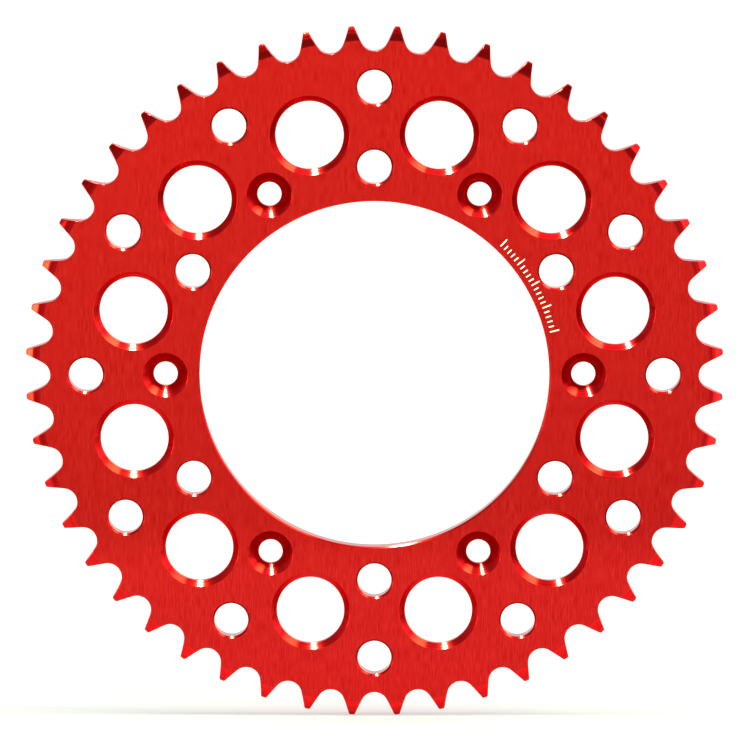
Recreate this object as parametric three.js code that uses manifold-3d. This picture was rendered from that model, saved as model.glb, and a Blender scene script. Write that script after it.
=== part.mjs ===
// Rear sprocket of a motorcycle: one flat aluminium plate with 48 teeth for 520 roller chain.
// It bolts to the hub of the rear wheel through six countersunk holes around a large bore.
// Millimetres. The spin axis is Y, the countersunk outboard face looks towards -Y, +Z is up,
// and the origin is the centre of the bore, halfway through the plate.

import * as THREE from "three";
import { mergeVertices } from "three/addons/utils/BufferGeometryUtils.js";
import Module from "manifold-3d";

// Chain and teeth
const TOOTH_COUNT = 48;
const CHAIN_PITCH = 15.875;
const ROLLER_DIAMETER = 10.16;
const SEAT_RADIUS = ROLLER_DIAMETER / 2;
const SEAT_HALF_ANGLE = THREE.MathUtils.degToRad(48);
const TOOTH_STEP = (2 * Math.PI) / TOOTH_COUNT;
const PITCH_RADIUS = CHAIN_PITCH / (2 * Math.sin(TOOTH_STEP / 2));
const TIP_RADIUS = 125.25;
const TIP_HALF_WIDTH = 0.85;
const TIP_CORNER = 0.5;
const FLANK_SLOPE = THREE.MathUtils.degToRad(19);

// Plate
const THICKNESS = 5.9;
const FACE = THICKNESS / 2;
const BORE_RADIUS = 62.7;

// Side relief, which thins the teeth towards their tips: radius where it starts and two slopes
const RELIEF_RADIUS = 120.1;
const RELIEF_MIDDLE_RADIUS = 122.5;
const RELIEF_LOWER_SLOPE = THREE.MathUtils.degToRad(15);
const RELIEF_UPPER_SLOPE = THREE.MathUtils.degToRad(24);

// Countersunk bolt holes
const BOLT_COUNT = 6;
const BOLT_CIRCLE_RADIUS = 75;
const BOLT_HOLE_RADIUS = 4.3;
const COUNTERSINK_RADIUS = 8.1;

// Lightening holes: a ring of large ones, and small ones outside and inside that ring
const LARGE_COUNT = 12;
const LARGE_CIRCLE_RADIUS = 89.3;
const LARGE_RADIUS = 12.15;
const LARGE_CHAMFER = 2.1;
const SMALL_RADIUS = 6.1;
const OUTER_SMALL_COUNT = 12;
const OUTER_SMALL_CIRCLE_RADIUS = 103.5;
const INNER_SMALL_COUNT = 6;

// How finely round shapes are split
const CURVE_STEPS = 2;
const BORE_SIDES = 60;
const LARGE_SIDES = 20;
const SMALL_SIDES = 16;

// How far a cutter runs past the face that it cuts
const OVERCUT = 1;
const MERGE_DISTANCE = 1e-4;

const wasm = await Module();
wasm.setup();

// A closed three.js geometry as a solid that can be joined and cut
function solidOf(geometry) {
  const bare = geometry.clone();
  bare.deleteAttribute("normal");
  bare.deleteAttribute("uv");
  const merged = mergeVertices(bare, MERGE_DISTANCE);
  const corners = merged.index.array;
  const triangles = [];
  for (let i = 0; i < corners.length; i += 3) {
    const [a, b, c] = corners.slice(i, i + 3);
    if (a !== b && b !== c && c !== a) triangles.push(a, b, c);
  }
  const mesh = new wasm.Mesh({
    numProp: 3,
    vertProperties: merged.getAttribute("position").array,
    triVerts: Uint32Array.from(triangles),
  });
  return new wasm.Manifold(mesh);
}

function geometryOf(solid) {
  const mesh = solid.getMesh();
  const geometry = new THREE.BufferGeometry();
  geometry.setAttribute("position", new THREE.BufferAttribute(mesh.vertProperties, 3));
  geometry.setIndex(new THREE.BufferAttribute(mesh.triVerts, 1));
  geometry.computeVertexNormals();
  return geometry;
}

// A point at a distance along the middle line of the ray at an angle, and to the left of it
function along(angle, distance, left) {
  const direction = new THREE.Vector2(Math.cos(angle), Math.sin(angle));
  const side = new THREE.Vector2(-direction.y, direction.x);
  return direction.multiplyScalar(distance).addScaledVector(side, left);
}

// Where two lines meet, each given by a point and a direction
function meetingPoint(pointA, directionA, pointB, directionB) {
  const gap = pointB.clone().sub(pointA);
  const reach = gap.cross(directionB) / directionA.cross(directionB);
  return pointA.clone().addScaledVector(directionA, reach);
}

// The outline of all teeth: a round roller seat in each gap, concave flanks and flat tips
function toothOutline() {
  const outline = new THREE.Shape();
  const seatEnd = Math.PI / 2 - SEAT_HALF_ANGLE;
  const footDistance = PITCH_RADIUS - SEAT_RADIUS * Math.sin(seatEnd);
  const footSide = SEAT_RADIUS * Math.cos(seatEnd);
  const shoulderDistance = TIP_RADIUS - TIP_CORNER;
  const shoulderSide = TIP_HALF_WIDTH + TIP_CORNER * Math.tan(FLANK_SLOPE);
  for (let i = 0; i < TOOTH_COUNT; i++) {
    const gapAngle = i * TOOTH_STEP;
    const toothAngle = gapAngle + TOOTH_STEP / 2;
    const nextGapAngle = gapAngle + TOOTH_STEP;
    const seat = along(gapAngle, PITCH_RADIUS, 0);
    const fromAngle = gapAngle + Math.PI + SEAT_HALF_ANGLE;
    const toAngle = gapAngle + Math.PI - SEAT_HALF_ANGLE;
    const risingFoot = along(gapAngle, footDistance, footSide);
    const fallingFoot = along(nextGapAngle, footDistance, -footSide);
    const risingShoulder = along(toothAngle, shoulderDistance, -shoulderSide);
    const fallingShoulder = along(toothAngle, shoulderDistance, shoulderSide);
    if (i === 0) {
      const start = along(gapAngle, footDistance, -footSide);
      outline.moveTo(start.x, start.y);
    }
    outline.absarc(seat.x, seat.y, SEAT_RADIUS, fromAngle, toAngle, true);
    const risingControl = meetingPoint(
      risingFoot,
      along(gapAngle, Math.cos(seatEnd), Math.sin(seatEnd)),
      risingShoulder,
      along(toothAngle, Math.cos(FLANK_SLOPE), Math.sin(FLANK_SLOPE)),
    );
    const fallingControl = meetingPoint(
      fallingFoot,
      along(nextGapAngle, Math.cos(seatEnd), -Math.sin(seatEnd)),
      fallingShoulder,
      along(toothAngle, Math.cos(FLANK_SLOPE), -Math.sin(FLANK_SLOPE)),
    );
    const risingTip = along(toothAngle, TIP_RADIUS, -TIP_HALF_WIDTH);
    const fallingTip = along(toothAngle, TIP_RADIUS, TIP_HALF_WIDTH);
    outline.quadraticCurveTo(risingControl.x, risingControl.y, risingShoulder.x, risingShoulder.y);
    outline.lineTo(risingTip.x, risingTip.y);
    outline.lineTo(fallingTip.x, fallingTip.y);
    outline.lineTo(fallingShoulder.x, fallingShoulder.y);
    outline.quadraticCurveTo(fallingControl.x, fallingControl.y, fallingFoot.x, fallingFoot.y);
  }
  return outline;
}

// A solid turned about the plate's axis from half-section points of [radius, height]
function turned(section, sides) {
  const points = section.map(([radius, height]) => new THREE.Vector2(radius, height));
  const geometry = new THREE.LatheGeometry(points, sides);
  geometry.rotateX(Math.PI / 2);
  return geometry;
}

// The space that the relieved teeth fit in, with one flat of the lathe to each tooth
function reliefSolid() {
  const acrossFlats = 1 / Math.cos(TOOTH_STEP / 2);
  const rimRadius = TIP_RADIUS + OVERCUT;
  const middleFace = FACE - (RELIEF_MIDDLE_RADIUS - RELIEF_RADIUS) * Math.tan(RELIEF_LOWER_SLOPE);
  const rimFace = middleFace - (rimRadius - RELIEF_MIDDLE_RADIUS) * Math.tan(RELIEF_UPPER_SLOPE);
  const outboardHalf = [
    [rimRadius * acrossFlats, rimFace],
    [RELIEF_MIDDLE_RADIUS * acrossFlats, middleFace],
    [RELIEF_RADIUS * acrossFlats, FACE],
    [0, FACE],
  ];
  const inboardHalf = outboardHalf.map(([radius, height]) => [radius, -height]).reverse();
  return solidOf(turned([...inboardHalf, ...outboardHalf], TOOTH_COUNT));
}

// A straight hole with a 45 degree chamfer at each end; a chamfer of 0 leaves that end sharp
function holeCutter(radius, inboardChamfer, outboardChamfer, sides) {
  const inboardEnd = radius + inboardChamfer + (inboardChamfer > 0 ? OVERCUT : 0);
  const outboardEnd = radius + outboardChamfer + (outboardChamfer > 0 ? OVERCUT : 0);
  const section = [[0, -FACE - OVERCUT], [inboardEnd, -FACE - OVERCUT]];
  if (inboardChamfer > 0) section.push([radius, inboardChamfer - FACE]);
  if (outboardChamfer > 0) section.push([radius, FACE - outboardChamfer]);
  section.push([outboardEnd, FACE + OVERCUT], [0, FACE + OVERCUT]);
  return turned(section, sides);
}

// Copies of one cutter, evenly spaced on a circle from a first angle
function ringOfCutters(cutter, count, circleRadius, firstAngle) {
  const cutters = [];
  for (let i = 0; i < count; i++) {
    const centre = along(firstAngle + (i * 2 * Math.PI) / count, circleRadius, 0);
    cutters.push(solidOf(cutter.clone().translate(centre.x, centre.y, 0)));
  }
  return cutters;
}

function sprocketPlate() {
  const blank = new THREE.ExtrudeGeometry(toothOutline(), {
    depth: THICKNESS,
    bevelEnabled: false,
    curveSegments: CURVE_STEPS,
  });
  blank.translate(0, 0, -FACE);

  const boltCutter = holeCutter(BOLT_HOLE_RADIUS, 0, COUNTERSINK_RADIUS - BOLT_HOLE_RADIUS, SMALL_SIDES);
  const largeCutter = holeCutter(LARGE_RADIUS, LARGE_CHAMFER, LARGE_CHAMFER, LARGE_SIDES);
  const smallCutter = holeCutter(SMALL_RADIUS, 0, 0, SMALL_SIDES);
  const cutters = [
    solidOf(holeCutter(BORE_RADIUS, 0, 0, BORE_SIDES)),
    ...ringOfCutters(boltCutter, BOLT_COUNT, BOLT_CIRCLE_RADIUS, 0),
    ...ringOfCutters(largeCutter, LARGE_COUNT, LARGE_CIRCLE_RADIUS, Math.PI / LARGE_COUNT),
    ...ringOfCutters(smallCutter, OUTER_SMALL_COUNT, OUTER_SMALL_CIRCLE_RADIUS, 0),
    ...ringOfCutters(smallCutter, INNER_SMALL_COUNT, BOLT_CIRCLE_RADIUS, Math.PI / INNER_SMALL_COUNT),
  ];
  const plate = cutters.reduce(
    (solid, cutter) => solid.subtract(cutter),
    solidOf(blank).intersect(reliefSolid()),
  );
  return geometryOf(plate);
}

const redAnodised = new THREE.MeshStandardMaterial({
  color: 0xc81820,
  metalness: 0.9,
  roughness: 0.35,
});

const plate = new THREE.Mesh(sprocketPlate(), redAnodised);
plate.name = "sprocket_plate";
plate.rotation.x = Math.PI / 2;

const sprocket = new THREE.Group();
sprocket.add(plate);

export default sprocket;
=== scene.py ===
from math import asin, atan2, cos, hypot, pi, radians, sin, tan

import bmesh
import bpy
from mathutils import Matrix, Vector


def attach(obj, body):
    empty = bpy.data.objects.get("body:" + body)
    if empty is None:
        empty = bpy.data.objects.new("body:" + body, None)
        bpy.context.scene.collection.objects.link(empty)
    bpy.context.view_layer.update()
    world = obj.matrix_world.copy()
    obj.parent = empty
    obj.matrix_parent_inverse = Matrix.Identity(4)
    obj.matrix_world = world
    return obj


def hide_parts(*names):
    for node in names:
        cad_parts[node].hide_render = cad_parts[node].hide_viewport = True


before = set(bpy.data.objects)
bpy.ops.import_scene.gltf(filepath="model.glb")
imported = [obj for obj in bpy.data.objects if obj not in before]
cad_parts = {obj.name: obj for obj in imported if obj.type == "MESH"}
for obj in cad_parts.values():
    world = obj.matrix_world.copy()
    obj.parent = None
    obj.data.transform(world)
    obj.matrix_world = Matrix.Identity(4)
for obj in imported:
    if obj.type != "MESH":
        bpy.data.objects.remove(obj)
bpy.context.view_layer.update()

# Rear sprocket: one machined plate, anodised red, standing on a white studio floor.
# The fine mesh made here stands for the faceted CAD plate. It is in the CAD's frame: the spin axis is Y,
# the countersunk face looks towards -Y, and +Z is up. The sizes of the plate are millimetres.

MM = 0.001

# Teeth
TOOTH_COUNT = 48
CHAIN_PITCH = 15.875
ROLLER_DIAMETER = 10.16
TOOTH_STEP = 2 * pi / TOOTH_COUNT
PITCH_RADIUS = CHAIN_PITCH / (2 * sin(TOOTH_STEP / 2))
SEAT_RADIUS = ROLLER_DIAMETER / 2
SEAT_HALF_ANGLE = radians(48)
FLANK_SLOPE = radians(19)
TIP_RADIUS = 125.2
TIP_HALF_WIDTH = 0.95
TIP_FLAT_HALF_WIDTH = 0.55
TIP_CORNER = 0.55

# Plate, and the relief that thins the sides of its teeth
THICKNESS = 5.9
FACE = THICKNESS / 2
RELIEF_RADIUS = 120.1
# Each band of the relief: start radius, slope at the start, slope at the end
RELIEF_BANDS = (
    (RELIEF_RADIUS, radians(10), radians(14)),
    (122.6, radians(21), radians(28)),
)
RELIEF_CREASE = 0.12
OUTLINE_EDGE = 0.22
# Radii closer than this are the same
SAME_RADIUS = 0.01

# Holes: radius, chamfer on the -Y side, chamfer on the +Y side, and how many corners a ring has
BORE = {"radius": 62.7, "front": 0.5, "back": 0.5, "corners": 288}
LARGE = {"radius": 12.15, "front": 2.1, "back": 2.1, "corners": 96}
SMALL = {"radius": 6.1, "front": 0.7, "back": 0.5, "corners": 64}
BOLT = {"radius": 4.3, "front": 3.8, "back": 0.3, "corners": 64}
LARGE_CIRCLE = 89.3
OUTER_CIRCLE = 103.5
BOLT_CIRCLE = 75.0
HOLE_EDGE = 0.05

# Etched graduation near the bore, a plain mark in place of lettering
SCALE_RADIUS = 64.8
SCALE_FIRST_ANGLE = radians(14)
SCALE_STEP = radians(1.6)
SCALE_TICKS = 21
SCALE_TICK_WIDTH = 0.42
SCALE_SHORT_TICK = 1.9
SCALE_LONG_TICK = 3.3
SCALE_LONG_EVERY = 5

# Steps along the parts of half a tooth's outline, and columns across a tooth
SEAT_STEPS = 9
FLANK_STEPS = 10
CORNER_STEPS = 4
TOOTH_COLUMNS = 6

# Material slots
FACE_FINISH = 0
TURNED_FINISH = 1
WALL_FINISH = 2
ETCHED_FINISH = 3

# What all the anodised finishes share. The noise mostly lies between NOISE_LOW and NOISE_HIGH
NOISE_LOW = 0.3
NOISE_HIGH = 0.7
STREAK_DETAIL = 3.0
BAND_DETAIL = 2.0
BAND_SHARE = 0.2
BUMP_HEIGHT = 0.02
COAT_ROUGHNESS = 0.12
# A quarter turn of the anisotropy, so that highlights spread across the grain
ACROSS_GRAIN = 0.25

# Etched finish: grains per millimetre, darkest and palest colour, and range of roughness
ETCH_SPECKLE = 6.0
ETCH_DETAIL = 2.0
ETCH_DARK = (0.78, 0.70, 0.69)
ETCH_PALE = (0.95, 0.92, 0.91)
ETCH_ROUGHNESS = (0.55, 0.75)

# From here on, lengths are metres
WHITE = (1.0, 1.0, 1.0)

# Floor, a trapezium that widens towards the back
FLOOR_FRONT = -0.318
FLOOR_BACK = 4.0
FLOOR_FRONT_HALF = 0.15
FLOOR_BACK_HALF = 4.0
FLOOR_COLOUR = (0.40, 0.42, 0.42)
FLOOR_ROUGHNESS = 0.9
# How strongly it glows as the camera sees it, near the object and far behind, and as the object mirrors it
FLOOR_GLOW_NEAR = 0.52
FLOOR_GLOW_FAR = 0.74
FLOOR_GLOW_MIRRORED = 0.34
# Where along Y the near glow starts to change, and where it has become the far one
FLOOR_NEAR_END = 0.03
FLOOR_FAR_START = 0.5

# Lamps, which both shine straight down: a strip in front of the plate that lights only the plate, and a
# softbox above it that lights only the floor
STRIP_PLACE = (-0.100, -0.09, 0.5)
STRIP_SIZE = (0.055, 0.2)
STRIP_RADIANCE = 680.0
STRIP_COLOUR = (1.0, 1.1, 0.6)
SOFTBOX_PLACE = (0.05, -0.02, 0.9)
SOFTBOX_SIZE = (1.4, 0.14)
SOFTBOX_RADIANCE = 13.0

# The studio around the object, as zones of direction over a dim room. A zone fades in between its
# first two limits and out between its last two. Azimuth is from the front towards +X, elevation from
# the horizon, and roll from straight up towards +X in the plane of the plate, in degrees. Forward is
# the share of the direction that points to the front, from -1 to 1. Warm zones have WARM_LIGHT's
# colour, and the others are white.
ROOM_LIGHT = 0.19
WARM_LIGHT = (1.0, 1.3, 0.42)
ZONES = (
    {"light": 0.60, "forward": (-3, -2, -0.1, 0.0), "elevation": (-120, -100, 45, 70)},
    {"light": 0.26, "azimuth": (-60, -45, 45, 60), "elevation": (-30, -20, 0, 8)},
    {"light": 0.12, "elevation": (34, 44, 120, 130)},
    {"light": 0.10, "azimuth": (-50, -40, 40, 50), "elevation": (1, 4, 13, 16)},
    {"light": 2.2, "azimuth": (28, 37, 73, 88), "elevation": (-50, -40, 18, 30)},
    {"light": 14.0, "warm": True, "azimuth": (-76, -66, -47, -43), "elevation": (-20, -2, 4, 12)},
    {"light": 13.6, "warm": True, "roll": (23, 27, 34, 60), "forward": (-0.05, 0.0, 0.16, 0.22)},
    {"light": 0.96, "roll": (-12, -9, 24, 30), "forward": (-0.05, 0.0, 0.16, 0.22)},
    {"light": 1.2, "roll": (24, 30, 44, 104), "forward": (-0.05, 0.0, 0.16, 0.22)},
    {"light": 0.28, "roll": (-110, -95, -60, -42), "forward": (-0.2, -0.1, 0.16, 0.22)},
)

# Camera: a long lens, aimed close to the plate's centre
CAMERA_AIM = (0.0002, 0.0, -0.0004)
CAMERA_DISTANCE = 1.7432
CAMERA_ELEVATION = radians(9.029)
CAMERA_AZIMUTH = radians(0.224)
CAMERA_CLIP_END = 30
LENS_MM = 233.07
SENSOR_MM = 36


# ---------------------------------------------------------------- mesh

class Skin:
    """Vertices with exact normals, and faces whose corners carry (along, across) the machining grain."""

    def __init__(self):
        self.points = []
        self.normals = []
        self.faces = []
        self.grain = []
        self.finishes = []

    def vertex(self, x, y, z, normal):
        self.points.append(Vector((x, y, z)))
        self.normals.append(Vector(normal).normalized())
        return len(self.points) - 1

    def face(self, corners, grain, finish):
        """Adds a face, turned so that it looks the way its vertex normals do."""
        a, b, c = (self.points[i] for i in corners[:3])
        facing = sum((self.normals[i] for i in corners), Vector())
        if (b - a).cross(c - a).dot(facing) < 0:
            corners = corners[::-1]
            grain = grain[::-1]
        self.faces.append(corners)
        self.grain.append(grain)
        self.finishes.append(finish)

    def strip(self, row_a, row_b, grain_a, grain_b, finish):
        """Quads between two rows of vertices of the same length."""
        for i in range(len(row_a) - 1):
            corners = (row_a[i], row_a[i + 1], row_b[i + 1], row_b[i])
            grain = (grain_a[i], grain_a[i + 1], grain_b[i + 1], grain_b[i])
            self.face(corners, grain, finish)

    def flat(self, loops, finish):
        """Fills the plane area between closed loops. Its grain runs along Z."""
        plane = bmesh.new()
        edges = []
        source = {}
        for loop in loops:
            made = [plane.verts.new(self.points[i]) for i in loop]
            source.update(zip(made, loop))
            edges += [plane.edges.new((made[i - 1], made[i])) for i in range(len(made))]
        normal = self.normals[loops[0][0]]
        bmesh.ops.triangle_fill(plane, edges=edges, use_beauty=True, use_dissolve=False, normal=normal)
        for face in plane.faces:
            corners = tuple(source[v] for v in face.verts)
            grain = tuple((self.points[i].z, self.points[i].x) for i in corners)
            self.face(corners, grain, finish)
        plane.free()


def softened(section, edge):
    """A section of straight runs with each inner corner eased: (radius, y, normal radius, normal y)."""
    eased = []
    for before, corner, after in zip(section, section[1:], section[2:]):
        for start, end, shift in ((before, corner, -edge), (corner, after, edge)):
            length = hypot(end[0] - start[0], end[1] - start[1])
            run = ((end[0] - start[0]) / length, (end[1] - start[1]) / length)
            eased.append((corner[0] + run[0] * shift, corner[1] + run[1] * shift, -run[1], run[0]))
    return eased


def add_hole(skin, hole, centre_x, centre_z):
    """Adds a hole's chamfers and wall, and returns its rings on the front and back faces."""
    radius, front, back, corners = hole["radius"], hole["front"], hole["back"], hole["corners"]
    outside = radius + front + back
    section = [
        (outside, -FACE),
        (radius + front, -FACE),
        (radius, front - FACE),
        (radius, FACE - back),
        (radius + back, FACE),
        (outside, FACE),
    ]
    eased = softened(section, HOLE_EDGE)
    rings = []
    for ring_radius, y, normal_radius, normal_y in eased:
        ring = []
        for i in range(corners):
            turn = 2 * pi * i / corners
            x = centre_x + ring_radius * cos(turn)
            z = centre_z + ring_radius * sin(turn)
            normal = (normal_radius * cos(turn), normal_y, normal_radius * sin(turn))
            ring.append(skin.vertex(x, y, z, normal))
        rings.append(ring)
    reach = 0.0
    for j in range(len(rings) - 1):
        (radius_a, y_a), (radius_b, y_b) = eased[j][:2], eased[j + 1][:2]
        length = hypot(radius_b - radius_a, y_b - y_a)
        around = [centre_x + centre_z + 2 * pi * radius * i / corners for i in range(corners + 1)]
        grain_a = [(u, reach) for u in around]
        grain_b = [(u, reach + length) for u in around]
        on_wall = y_a > front - FACE and y_b < FACE - back
        finish = WALL_FINISH if on_wall else TURNED_FINISH
        skin.strip(rings[j] + rings[j][:1], rings[j + 1] + rings[j + 1][:1], grain_a, grain_b, finish)
        reach += length
    return rings[0], rings[-1]


def curve_between(start, control, end, steps):
    """Points of a quadratic curve after its start."""
    points = []
    for i in range(1, steps + 1):
        t = i / steps
        weights = ((1 - t) ** 2, 2 * t * (1 - t), t * t)
        points.append(tuple(sum(w * p[k] for w, p in zip(weights, (start, control, end))) for k in (0, 1)))
    return points


def half_tooth():
    """Half a tooth's outline as (across, out) from its centre line, from the gap's bottom to the tip."""
    half = TOOTH_STEP / 2
    points = []
    for i in range(SEAT_STEPS + 1):
        turn = SEAT_HALF_ANGLE * i / SEAT_STEPS
        side = SEAT_RADIUS * sin(turn)
        out = PITCH_RADIUS - SEAT_RADIUS * cos(turn)
        points.append((out * sin(half) - side * cos(half), out * cos(half) + side * sin(half)))
    foot = points[-1]
    foot_run = (-cos(SEAT_HALF_ANGLE + half), sin(SEAT_HALF_ANGLE + half))
    shoulder = (TIP_HALF_WIDTH + TIP_CORNER * tan(FLANK_SLOPE), TIP_RADIUS - TIP_CORNER)
    flank_run = (-sin(FLANK_SLOPE), cos(FLANK_SLOPE))
    gap = (shoulder[0] - foot[0], shoulder[1] - foot[1])
    crossing = foot_run[0] * flank_run[1] - foot_run[1] * flank_run[0]
    reach = (gap[0] * flank_run[1] - gap[1] * flank_run[0]) / crossing
    control = (foot[0] + foot_run[0] * reach, foot[1] + foot_run[1] * reach)
    points += curve_between(foot, control, shoulder, FLANK_STEPS)
    tip_edge = (TIP_FLAT_HALF_WIDTH, TIP_RADIUS)
    points += curve_between(shoulder, (TIP_HALF_WIDTH, TIP_RADIUS), tip_edge, CORNER_STEPS)
    return points


def tooth_rows():
    """Rows of half a tooth: the wall's point, its outward normal, and the face's point inside the edge."""
    points = half_tooth()
    rows = []
    for i, point in enumerate(points):
        before = points[max(i - 1, 0)]
        after = points[min(i + 1, len(points) - 1)]
        run = Vector((after[0] - before[0], after[1] - before[1])).normalized()
        normal = Vector((run.y, -run.x))
        if i == 0:
            normal = Vector((sin(TOOTH_STEP / 2), cos(TOOTH_STEP / 2)))
        if i == len(points) - 1:
            normal = Vector((0, 1))
        rows.append((Vector(point), normal, Vector(point) - normal * OUTLINE_EDGE))
    creases = [start + step for start, _, _ in RELIEF_BANDS for step in (0.0, RELIEF_CREASE)]
    for radius in creases:
        above = next(i for i, row in enumerate(rows) if row[2].length > radius)
        low, high = rows[above - 1], rows[above]
        t = (radius - low[2].length) / (high[2].length - low[2].length)
        rows.insert(above, tuple(a.lerp(b, t) for a, b in zip(low, high)))
    return rows


def relief(radius):
    """Half the plate's thickness, and the slope of its side, at a radius."""
    half, slope = FACE, 0.0
    ends = [band[0] for band in RELIEF_BANDS[1:]] + [TIP_RADIUS]
    for (start, start_slope, end_slope), end in zip(RELIEF_BANDS, ends):
        if radius <= start + SAME_RADIUS:
            break
        arc_radius = (end - start) / (sin(end_slope) - sin(start_slope))
        reach = min(radius, end) - start
        slope = asin(min(sin(end_slope), sin(start_slope) + reach / arc_radius))
        half -= arc_radius * (cos(start_slope) - cos(slope))
    return half, slope


def add_teeth(skin):
    """Adds the toothed rim, and returns its loops on the front and back faces."""
    rows = tooth_rows()
    tip = len(rows) - 1
    crease = next(i for i, row in enumerate(rows) if row[2].length > RELIEF_RADIUS - SAME_RADIUS)
    spans = [-1 + 2 * c / TOOTH_COLUMNS for c in range(TOOTH_COLUMNS + 1)]
    stations = [(i, 0) for i in range(tip + 1)]
    stations += [(tip, c) for c in range(1, TOOTH_COLUMNS)]
    stations += [(i, TOOTH_COLUMNS) for i in range(tip, 0, -1)]

    def face_vertex(row, column, centre, side):
        point = rows[row][2]
        angle = centre + spans[column] * atan2(point.x, point.y)
        half, slope = relief(point.length)
        if row <= crease:
            half, slope = FACE, 0.0
        normal = (sin(slope) * cos(angle), side * cos(slope), sin(slope) * sin(angle))
        return skin.vertex(point.length * cos(angle), side * half, point.length * sin(angle), normal)

    def face_grain(row, centre):
        point = rows[row][2]
        turn = atan2(point.x, point.y)
        return [((centre + span * turn) * TIP_RADIUS, point.length) for span in spans]

    def wall_vertex(row, column, centre, side):
        point, normal = rows[row][:2]
        angle = centre + spans[column] * atan2(point.x, point.y)
        facing = centre + spans[column] * atan2(normal.x, normal.y)
        half = relief(point.length)[0] - OUTLINE_EDGE
        x, z = point.length * cos(angle), point.length * sin(angle)
        return skin.vertex(x, side * half, z, (cos(facing), 0, sin(facing)))

    loops = []
    wall_rings = []
    face_rings = []
    for side in (-1, 1):
        wall_ring = []
        face_ring = []
        loop = []
        for k in range(TOOTH_COUNT):
            centre = (k + 0.5) * TOOTH_STEP
            placed = {station: face_vertex(*station, centre, side) for station in stations}
            for i in range(crease, tip):
                for c in range(1, TOOTH_COLUMNS):
                    placed[i, c] = face_vertex(i, c, centre, side)
            wall_ring += [wall_vertex(*station, centre, side) for station in stations]
            face_ring += [placed[station] for station in stations]
            loop += [placed[i, 0] for i in range(crease + 1)]
            loop += [placed[crease, c] for c in range(1, TOOTH_COLUMNS)]
            loop += [placed[i, TOOTH_COLUMNS] for i in range(crease, 0, -1)]
            for i in range(crease, tip):
                row_a = [placed[i, c] for c in range(TOOTH_COLUMNS + 1)]
                row_b = [placed[i + 1, c] for c in range(TOOTH_COLUMNS + 1)]
                grain_a = face_grain(i, centre)
                grain_b = face_grain(i + 1, centre)
                skin.strip(row_a, row_b, grain_a, grain_b, TURNED_FINISH)
        wall_rings.append(wall_ring + wall_ring[:1])
        face_rings.append(face_ring + face_ring[:1])
        loops.append(loop)

    ring_order = (face_rings[0], wall_rings[0], wall_rings[1], face_rings[1])
    walked = [0.0]
    for a, b in zip(wall_rings[0], wall_rings[0][1:]):
        walked.append(walked[-1] + (skin.points[b] - skin.points[a]).length)
    grains = [[(skin.points[i].y, s) for i, s in zip(ring, walked)] for ring in ring_order]
    for j in range(len(ring_order) - 1):
        skin.strip(ring_order[j], ring_order[j + 1], grains[j], grains[j + 1], TURNED_FINISH)
    return loops


def ring_of_holes(skin, hole, count, circle, first_angle):
    """Adds evenly spaced holes, and returns their loops on the front and back faces."""
    fronts = []
    backs = []
    for i in range(count):
        angle = first_angle + 2 * pi * i / count
        front, back = add_hole(skin, hole, circle * cos(angle), circle * sin(angle))
        fronts.append(front)
        backs.append(back)
    return fronts, backs


def add_scale(skin):
    """Adds the etched ticks, flush with the front face, and returns the loops that they leave open."""
    loops = []
    for i in range(SCALE_TICKS):
        angle = SCALE_FIRST_ANGLE + i * SCALE_STEP
        length = SCALE_SHORT_TICK if i % SCALE_LONG_EVERY else SCALE_LONG_TICK
        corners = []
        for out, side in ((0, -1), (length, -1), (length, 1), (0, 1)):
            radius = SCALE_RADIUS + out
            across = side * SCALE_TICK_WIDTH / 2
            x = radius * cos(angle) - across * sin(angle)
            z = radius * sin(angle) + across * cos(angle)
            corners.append(skin.vertex(x, -FACE, z, (0, -1, 0)))
        grain = tuple((skin.points[c].z, skin.points[c].x) for c in corners)
        skin.face(tuple(corners), grain, ETCHED_FINISH)
        loops.append(corners)
    return loops


def build_plate(finishes):
    """The whole plate as one closed mesh object."""
    skin = Skin()
    front_rim, back_rim = add_teeth(skin)
    front_loops = [front_rim] + add_scale(skin)
    back_loops = [back_rim]
    # hole, how many, radius of their circle, angle of the first
    holes = (
        (BORE, 1, 0.0, 0.0),
        (BOLT, 6, BOLT_CIRCLE, 0.0),
        (SMALL, 6, BOLT_CIRCLE, pi / 6),
        (LARGE, 12, LARGE_CIRCLE, pi / 12),
        (SMALL, 12, OUTER_CIRCLE, 0.0),
    )
    for hole, count, circle, first_angle in holes:
        fronts, backs = ring_of_holes(skin, hole, count, circle, first_angle)
        front_loops += fronts
        back_loops += backs
    skin.flat(front_loops, FACE_FINISH)
    skin.flat(back_loops, FACE_FINISH)

    mesh = bpy.data.meshes.new("sprocket")
    mesh.from_pydata([p * MM for p in skin.points], [], skin.faces)
    layer = mesh.uv_layers.new(name="grain")
    for polygon, grain, finish in zip(mesh.polygons, skin.grain, skin.finishes):
        polygon.use_smooth = True
        polygon.material_index = finish
        for loop_index, along_across in zip(polygon.loop_indices, grain):
            layer.data[loop_index].uv = along_across
    for material in finishes:
        mesh.materials.append(material)
    mesh.normals_split_custom_set_from_vertices(skin.normals)
    plate = bpy.data.objects.new("sprocket", mesh)
    bpy.context.scene.collection.objects.link(plate)
    return plate


# ---------------------------------------------------------------- nodes and materials

def add_node(tree, kind, values=(), **settings):
    """Adds a node, sets its properties, then its inputs by name or number."""
    node = tree.nodes.new(kind)
    for name, value in settings.items():
        setattr(node, name, value)
    for key, value in dict(values).items():
        node.inputs[key].default_value = value
    return node


def calculate(tree, operation, a, b=0.0):
    """A maths node on two values, each a number or another node's output."""
    node = add_node(tree, "ShaderNodeMath", operation=operation)
    for socket, value in zip(node.inputs, (a, b)):
        if isinstance(value, float):
            socket.default_value = value
        else:
            tree.links.new(value, socket)
    return node.outputs[0]


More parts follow.
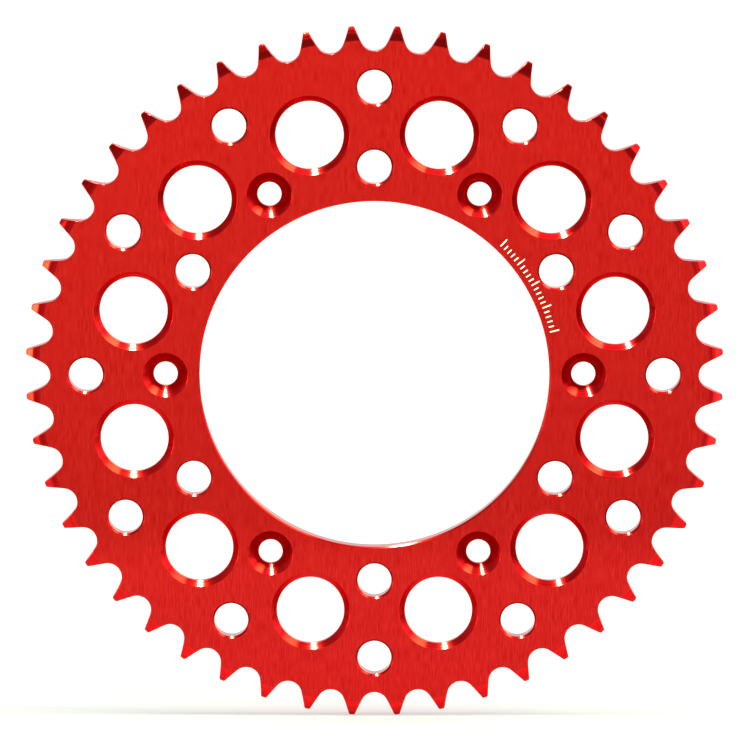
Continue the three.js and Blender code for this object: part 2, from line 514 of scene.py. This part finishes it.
def soft_step(tree, value, start, end):
    """0 before start and 1 past end, with a smooth step between; start may lie above end."""
    limits = {"From Min": start, "From Max": end, "To Min": 0.0, "To Max": 1.0}
    step = add_node(tree, "ShaderNodeMapRange", limits, interpolation_type="SMOOTHSTEP")
    tree.links.new(value, step.inputs["Value"])
    return step.outputs["Result"]


def grain_noise(tree, uv, along, across, detail):
    """Streaks that follow the grain: noise with so many waves per millimetre along and across it."""
    stretch = add_node(tree, "ShaderNodeMapping", {"Scale": (along, across, 1.0)})
    tree.links.new(uv, stretch.inputs["Vector"])
    noise = add_node(tree, "ShaderNodeTexNoise", {"Scale": 1.0, "Detail": detail}, noise_dimensions="2D")
    tree.links.new(stretch.outputs["Vector"], noise.inputs["Vector"])
    return noise.outputs["Fac"]


def remap(tree, value, low, high):
    """Spreads a noise value over a range."""
    limits = {"From Min": NOISE_LOW, "From Max": NOISE_HIGH, "To Min": low, "To Max": high}
    spread = add_node(tree, "ShaderNodeMapRange", limits)
    tree.links.new(value, spread.inputs["Value"])
    return spread.outputs["Result"]


def anodised(name, dark, light, fine, broad, roughness, bump, anisotropy, turn, coat):
    """Dyed anodised aluminium with a machined grain.

    fine and broad are the waves per millimetre, along and across the grain, of its streaks and bands.
    """
    material = bpy.data.materials.new(name)
    material.use_nodes = True
    tree = material.node_tree
    shader = tree.nodes["Principled BSDF"]
    uv = add_node(tree, "ShaderNodeUVMap", uv_map="grain").outputs["UV"]
    streaks = grain_noise(tree, uv, *fine, STREAK_DETAIL)
    bands = grain_noise(tree, uv, *broad, BAND_DETAIL)

    mixed = add_node(tree, "ShaderNodeMix", {"Factor": BAND_SHARE}, data_type="FLOAT")
    tree.links.new(streaks, mixed.inputs["A"])
    tree.links.new(bands, mixed.inputs["B"])
    colour = add_node(tree, "ShaderNodeMix", data_type="RGBA")
    colour.inputs["A"].default_value = (*dark, 1)
    colour.inputs["B"].default_value = (*light, 1)
    tree.links.new(remap(tree, mixed.outputs["Result"], 0.0, 1.0), colour.inputs["Factor"])
    tree.links.new(colour.outputs["Result"], shader.inputs["Base Color"])
    tree.links.new(remap(tree, streaks, *roughness), shader.inputs["Roughness"])

    relief_bump = add_node(tree, "ShaderNodeBump", {"Strength": bump, "Distance": BUMP_HEIGHT * MM})
    tree.links.new(streaks, relief_bump.inputs["Height"])
    tree.links.new(relief_bump.outputs["Normal"], shader.inputs["Normal"])

    tangent = add_node(tree, "ShaderNodeTangent", direction_type="UV_MAP", uv_map="grain")
    tree.links.new(tangent.outputs["Tangent"], shader.inputs["Tangent"])
    shader.inputs["Metallic"].default_value = 1.0
    shader.inputs["Anisotropic"].default_value = anisotropy
    shader.inputs["Anisotropic Rotation"].default_value = turn
    shader.inputs["Coat Weight"].default_value = coat
    shader.inputs["Coat Roughness"].default_value = COAT_ROUGHNESS
    return material


def etched(name):
    """Laser-etched aluminium, where the dye is burnt away to a pale matt grey."""
    material = bpy.data.materials.new(name)
    material.use_nodes = True
    tree = material.node_tree
    shader = tree.nodes["Principled BSDF"]
    uv = add_node(tree, "ShaderNodeUVMap", uv_map="grain").outputs["UV"]
    speckle = grain_noise(tree, uv, ETCH_SPECKLE, ETCH_SPECKLE, ETCH_DETAIL)
    colour = add_node(tree, "ShaderNodeMix", data_type="RGBA")
    colour.inputs["A"].default_value = (*ETCH_DARK, 1)
    colour.inputs["B"].default_value = (*ETCH_PALE, 1)
    tree.links.new(remap(tree, speckle, 0.0, 1.0), colour.inputs["Factor"])
    tree.links.new(colour.outputs["Result"], shader.inputs["Base Color"])
    tree.links.new(remap(tree, speckle, *ETCH_ROUGHNESS), shader.inputs["Roughness"])
    return material


# The flat faces, brushed up and down
brushed_red = anodised(
    "brushed_red", (0.610, 0.0070, 0.0068), (0.800, 0.0260, 0.0240), fine=(0.2, 2.6), broad=(0.01, 0.9),
    roughness=(0.248, 0.252), bump=0.015, anisotropy=1.0, turn=ACROSS_GRAIN, coat=0.05,
)
# Countersinks, chamfers, the thinned sides of the teeth, and their outline
turned_red = anodised(
    "turned_red", (0.70, 0.006, 0.009), (1.0, 0.018, 0.018), fine=(0.004, 1.8), broad=(0.01, 0.9),
    roughness=(0.10, 0.15), bump=1.0, anisotropy=0.3, turn=ACROSS_GRAIN, coat=0.03,
)
# The walls of the holes, under a clear glossy layer
wall_red = anodised(
    "wall_red", (0.68, 0.013, 0.006), (0.74, 0.017, 0.008), fine=(0.1, 1.6), broad=(0.05, 0.3),
    roughness=(0.06, 0.10), bump=0.1, anisotropy=0.0, turn=0.0, coat=1.0,
)
etched_grey = etched("etched_grey")

plate = build_plate((brushed_red, turned_red, wall_red, etched_grey))
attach(plate, "root")
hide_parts("sprocket_plate")


# ---------------------------------------------------------------- studio

def add_floor(height):
    """A matt floor that glows a little, so that it fades into the white surroundings."""
    mesh = bpy.data.meshes.new("floor")
    corners = [
        (-FLOOR_FRONT_HALF, FLOOR_FRONT, height),
        (FLOOR_FRONT_HALF, FLOOR_FRONT, height),
        (FLOOR_BACK_HALF, FLOOR_BACK, height),
        (-FLOOR_BACK_HALF, FLOOR_BACK, height),
    ]
    mesh.from_pydata(corners, [], [(0, 1, 2, 3)])
    floor = bpy.data.objects.new("floor", mesh)
    bpy.context.scene.collection.objects.link(floor)
    material = bpy.data.materials.new("floor_white")
    material.use_nodes = True
    tree = material.node_tree
    shader = tree.nodes["Principled BSDF"]
    shader.inputs["Base Color"].default_value = (*FLOOR_COLOUR, 1)
    shader.inputs["Roughness"].default_value = FLOOR_ROUGHNESS
    shader.inputs["Specular IOR Level"].default_value = 0.0
    shader.inputs["Emission Color"].default_value = (*WHITE, 1)

    split = add_node(tree, "ShaderNodeSeparateXYZ")
    tree.links.new(add_node(tree, "ShaderNodeNewGeometry").outputs["Position"], split.inputs[0])
    seen = add_node(tree, "ShaderNodeMix", {"A": FLOOR_GLOW_NEAR, "B": FLOOR_GLOW_FAR}, data_type="FLOAT")
    distance = soft_step(tree, split.outputs["Y"], FLOOR_NEAR_END, FLOOR_FAR_START)
    tree.links.new(distance, seen.inputs["Factor"])
    glow = add_node(tree, "ShaderNodeMix", {"A": FLOOR_GLOW_MIRRORED}, data_type="FLOAT")
    tree.links.new(seen.outputs["Result"], glow.inputs["B"])
    tree.links.new(add_node(tree, "ShaderNodeLightPath").outputs["Is Camera Ray"], glow.inputs["Factor"])
    tree.links.new(glow.outputs["Result"], shader.inputs["Emission Strength"])
    mesh.materials.append(material)
    return floor


def add_lamp(name, place, size, radiance, colour, lit_object):
    """A rectangular lamp that shines straight down on one object, and that the camera doesn't see."""
    light = bpy.data.lights.new(name, "AREA")
    light.shape = "RECTANGLE"
    light.size, light.size_y = size
    light.color = colour
    light.energy = radiance * pi * size[0] * size[1]
    lamp = bpy.data.objects.new(name, light)
    lamp.location = place
    lamp.visible_camera = False
    bpy.context.scene.collection.objects.link(lamp)
    lit = bpy.data.collections.new(name + "_lights")
    lit.objects.link(lit_object)
    lamp.light_linking.receiver_collection = lit


def add_surroundings():
    """White as the camera sees it, and the zones of light as the object does."""
    world = bpy.data.worlds.new("studio")
    bpy.context.scene.world = world
    world.use_nodes = True
    tree = world.node_tree
    tree.nodes.clear()
    direction = add_node(tree, "ShaderNodeTexCoord").outputs["Generated"]
    split = add_node(tree, "ShaderNodeSeparateXYZ")
    tree.links.new(direction, split.inputs[0])
    x, y, z = split.outputs
    forward = calculate(tree, "MULTIPLY", y, -1.0)
    coordinates = {
        "forward": forward,
        "azimuth": calculate(tree, "DEGREES", calculate(tree, "ARCTAN2", x, forward)),
        "elevation": calculate(tree, "DEGREES", calculate(tree, "ARCSINE", z)),
        "roll": calculate(tree, "DEGREES", calculate(tree, "ARCTAN2", x, z)),
    }
    plain = ROOM_LIGHT
    warm = 0.0
    for zone in ZONES:
        share = zone["light"]
        for name, coordinate in coordinates.items():
            if name in zone:
                start, full, still_full, end = zone[name]
                share = calculate(tree, "MULTIPLY", soft_step(tree, coordinate, start, full), share)
                share = calculate(tree, "MULTIPLY", soft_step(tree, coordinate, end, still_full), share)
        if zone.get("warm"):
            warm = calculate(tree, "ADD", share, warm)
        else:
            plain = calculate(tree, "ADD", share, plain)
    seen = add_node(tree, "ShaderNodeLightPath").outputs["Is Camera Ray"]
    plain_light = add_node(tree, "ShaderNodeBackground", {"Color": (*WHITE, 1)})
    tree.links.new(plain, plain_light.inputs["Strength"])
    warm_light = add_node(tree, "ShaderNodeBackground", {"Color": (*WARM_LIGHT, 1)})
    tree.links.new(warm, warm_light.inputs["Strength"])
    lit = add_node(tree, "ShaderNodeAddShader")
    tree.links.new(plain_light.outputs[0], lit.inputs[0])
    tree.links.new(warm_light.outputs[0], lit.inputs[1])
    white = add_node(tree, "ShaderNodeBackground", {"Color": (*WHITE, 1), "Strength": 1.0})
    mix = add_node(tree, "ShaderNodeMixShader")
    tree.links.new(seen, mix.inputs["Fac"])
    tree.links.new(lit.outputs[0], mix.inputs[1])
    tree.links.new(white.outputs[0], mix.inputs[2])
    output = add_node(tree, "ShaderNodeOutputWorld")
    tree.links.new(mix.outputs[0], output.inputs["Surface"])


def add_camera():
    """A camera that looks down a little on the plate, from the front."""
    data = bpy.data.cameras.new("camera")
    data.sensor_width = SENSOR_MM
    data.lens = LENS_MM
    data.clip_end = CAMERA_CLIP_END
    camera = bpy.data.objects.new("camera", data)
    bpy.context.scene.collection.objects.link(camera)
    level = cos(CAMERA_ELEVATION)
    outward = Vector((level * sin(CAMERA_AZIMUTH), -level * cos(CAMERA_AZIMUTH), sin(CAMERA_ELEVATION)))
    camera.location = Vector(CAMERA_AIM) + outward * CAMERA_DISTANCE
    camera.rotation_euler = (-outward).to_track_quat("-Z", "Y").to_euler()
    bpy.context.scene.camera = camera


lowest = min(v.co.z for v in plate.data.vertices)
floor = add_floor(lowest)
add_surroundings()
add_lamp("strip_lamp", STRIP_PLACE, STRIP_SIZE, STRIP_RADIANCE, STRIP_COLOUR, plate)
add_lamp("overhead_softbox", SOFTBOX_PLACE, SOFTBOX_SIZE, SOFTBOX_RADIANCE, WHITE, floor)
add_camera()
bpy.context.scene.view_settings.view_transform = "Standard"
